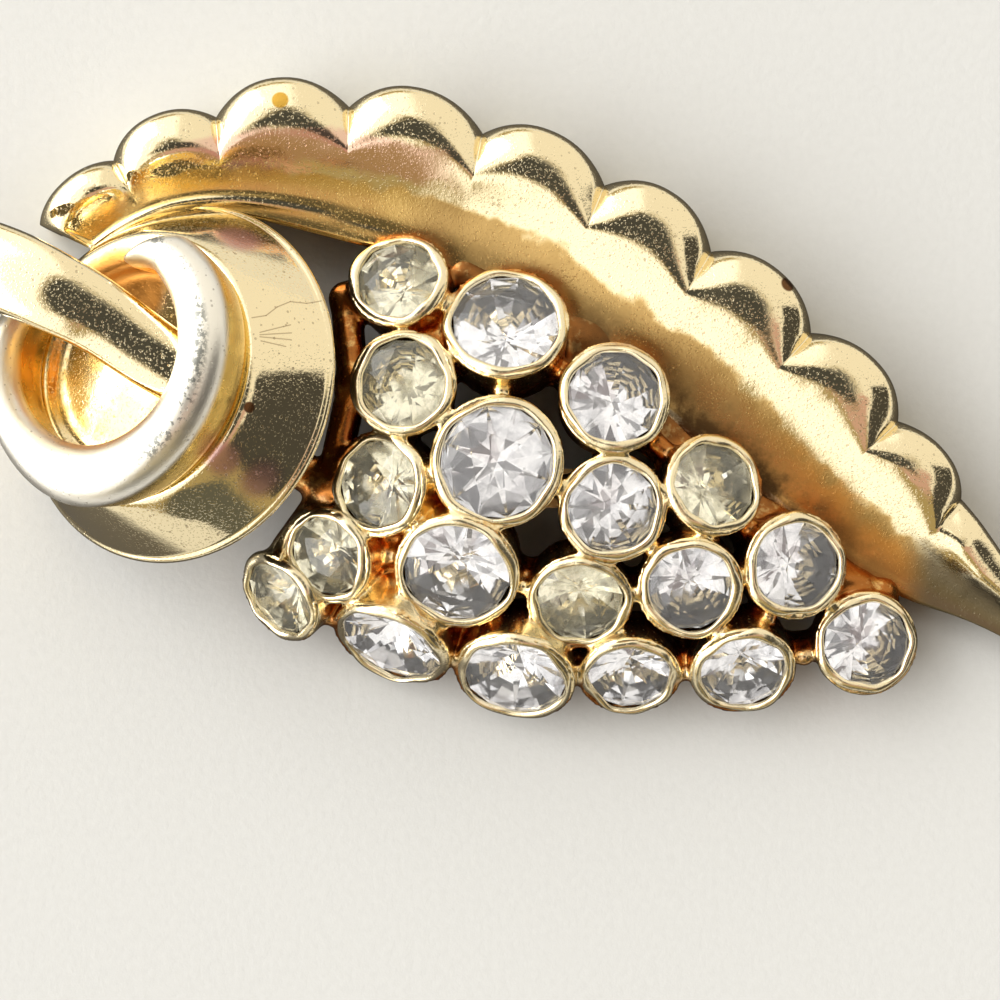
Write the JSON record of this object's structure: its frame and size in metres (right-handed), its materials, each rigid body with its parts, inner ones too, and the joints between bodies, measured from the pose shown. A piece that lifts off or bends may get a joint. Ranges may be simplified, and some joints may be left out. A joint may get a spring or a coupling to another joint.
{
  "type": "grape brooch",
  "caption": "Gold-plated cast brooch: scalloped leaf with a pierced bunch of clear cut stones, and a ring knot with its stem.",
  "frame": {"origin": "middle of the whole brooch's bounding box, on the plane that it lies on", "axes": "+X towards the leaf's tip, +Y towards its scallops, +Z out of the front"},
  "size_m": [0.0617, 0.0328, 0.015],
  "materials": {
    "leaf_gold": "aged polished gold plating, dark in the recesses",
    "knot_gold": "bright polished gold plating with fine scratches",
    "stem_gold": "polished gold plating with worn speckles",
    "pin_gold": "plain gold plating",
    "clear_stone": "clear cut glass with a foiled back"
  },
  "bodies": {
    "root": {"leaf_casting": "leaf_gold", "knot_dome": "knot_gold", "knot_ring": "knot_gold", "stem": "stem_gold", "pin_back": "pin_gold", "stone_01": "clear_stone", "stone_02": "clear_stone", "stone_03": "clear_stone", "stone_04": "clear_stone", "stone_05": "clear_stone", "stone_06": "clear_stone", "stone_07": "clear_stone", "stone_08": "clear_stone", "stone_09": "clear_stone", "stone_10": "clear_stone", "stone_11": "clear_stone", "stone_12": "clear_stone", "stone_13": "clear_stone", "stone_14": "clear_stone", "stone_15": "clear_stone", "stone_16": "clear_stone", "stone_17": "clear_stone", "stone_18": "clear_stone", "stone_19": "clear_stone"}
  },
  "joints": []
}
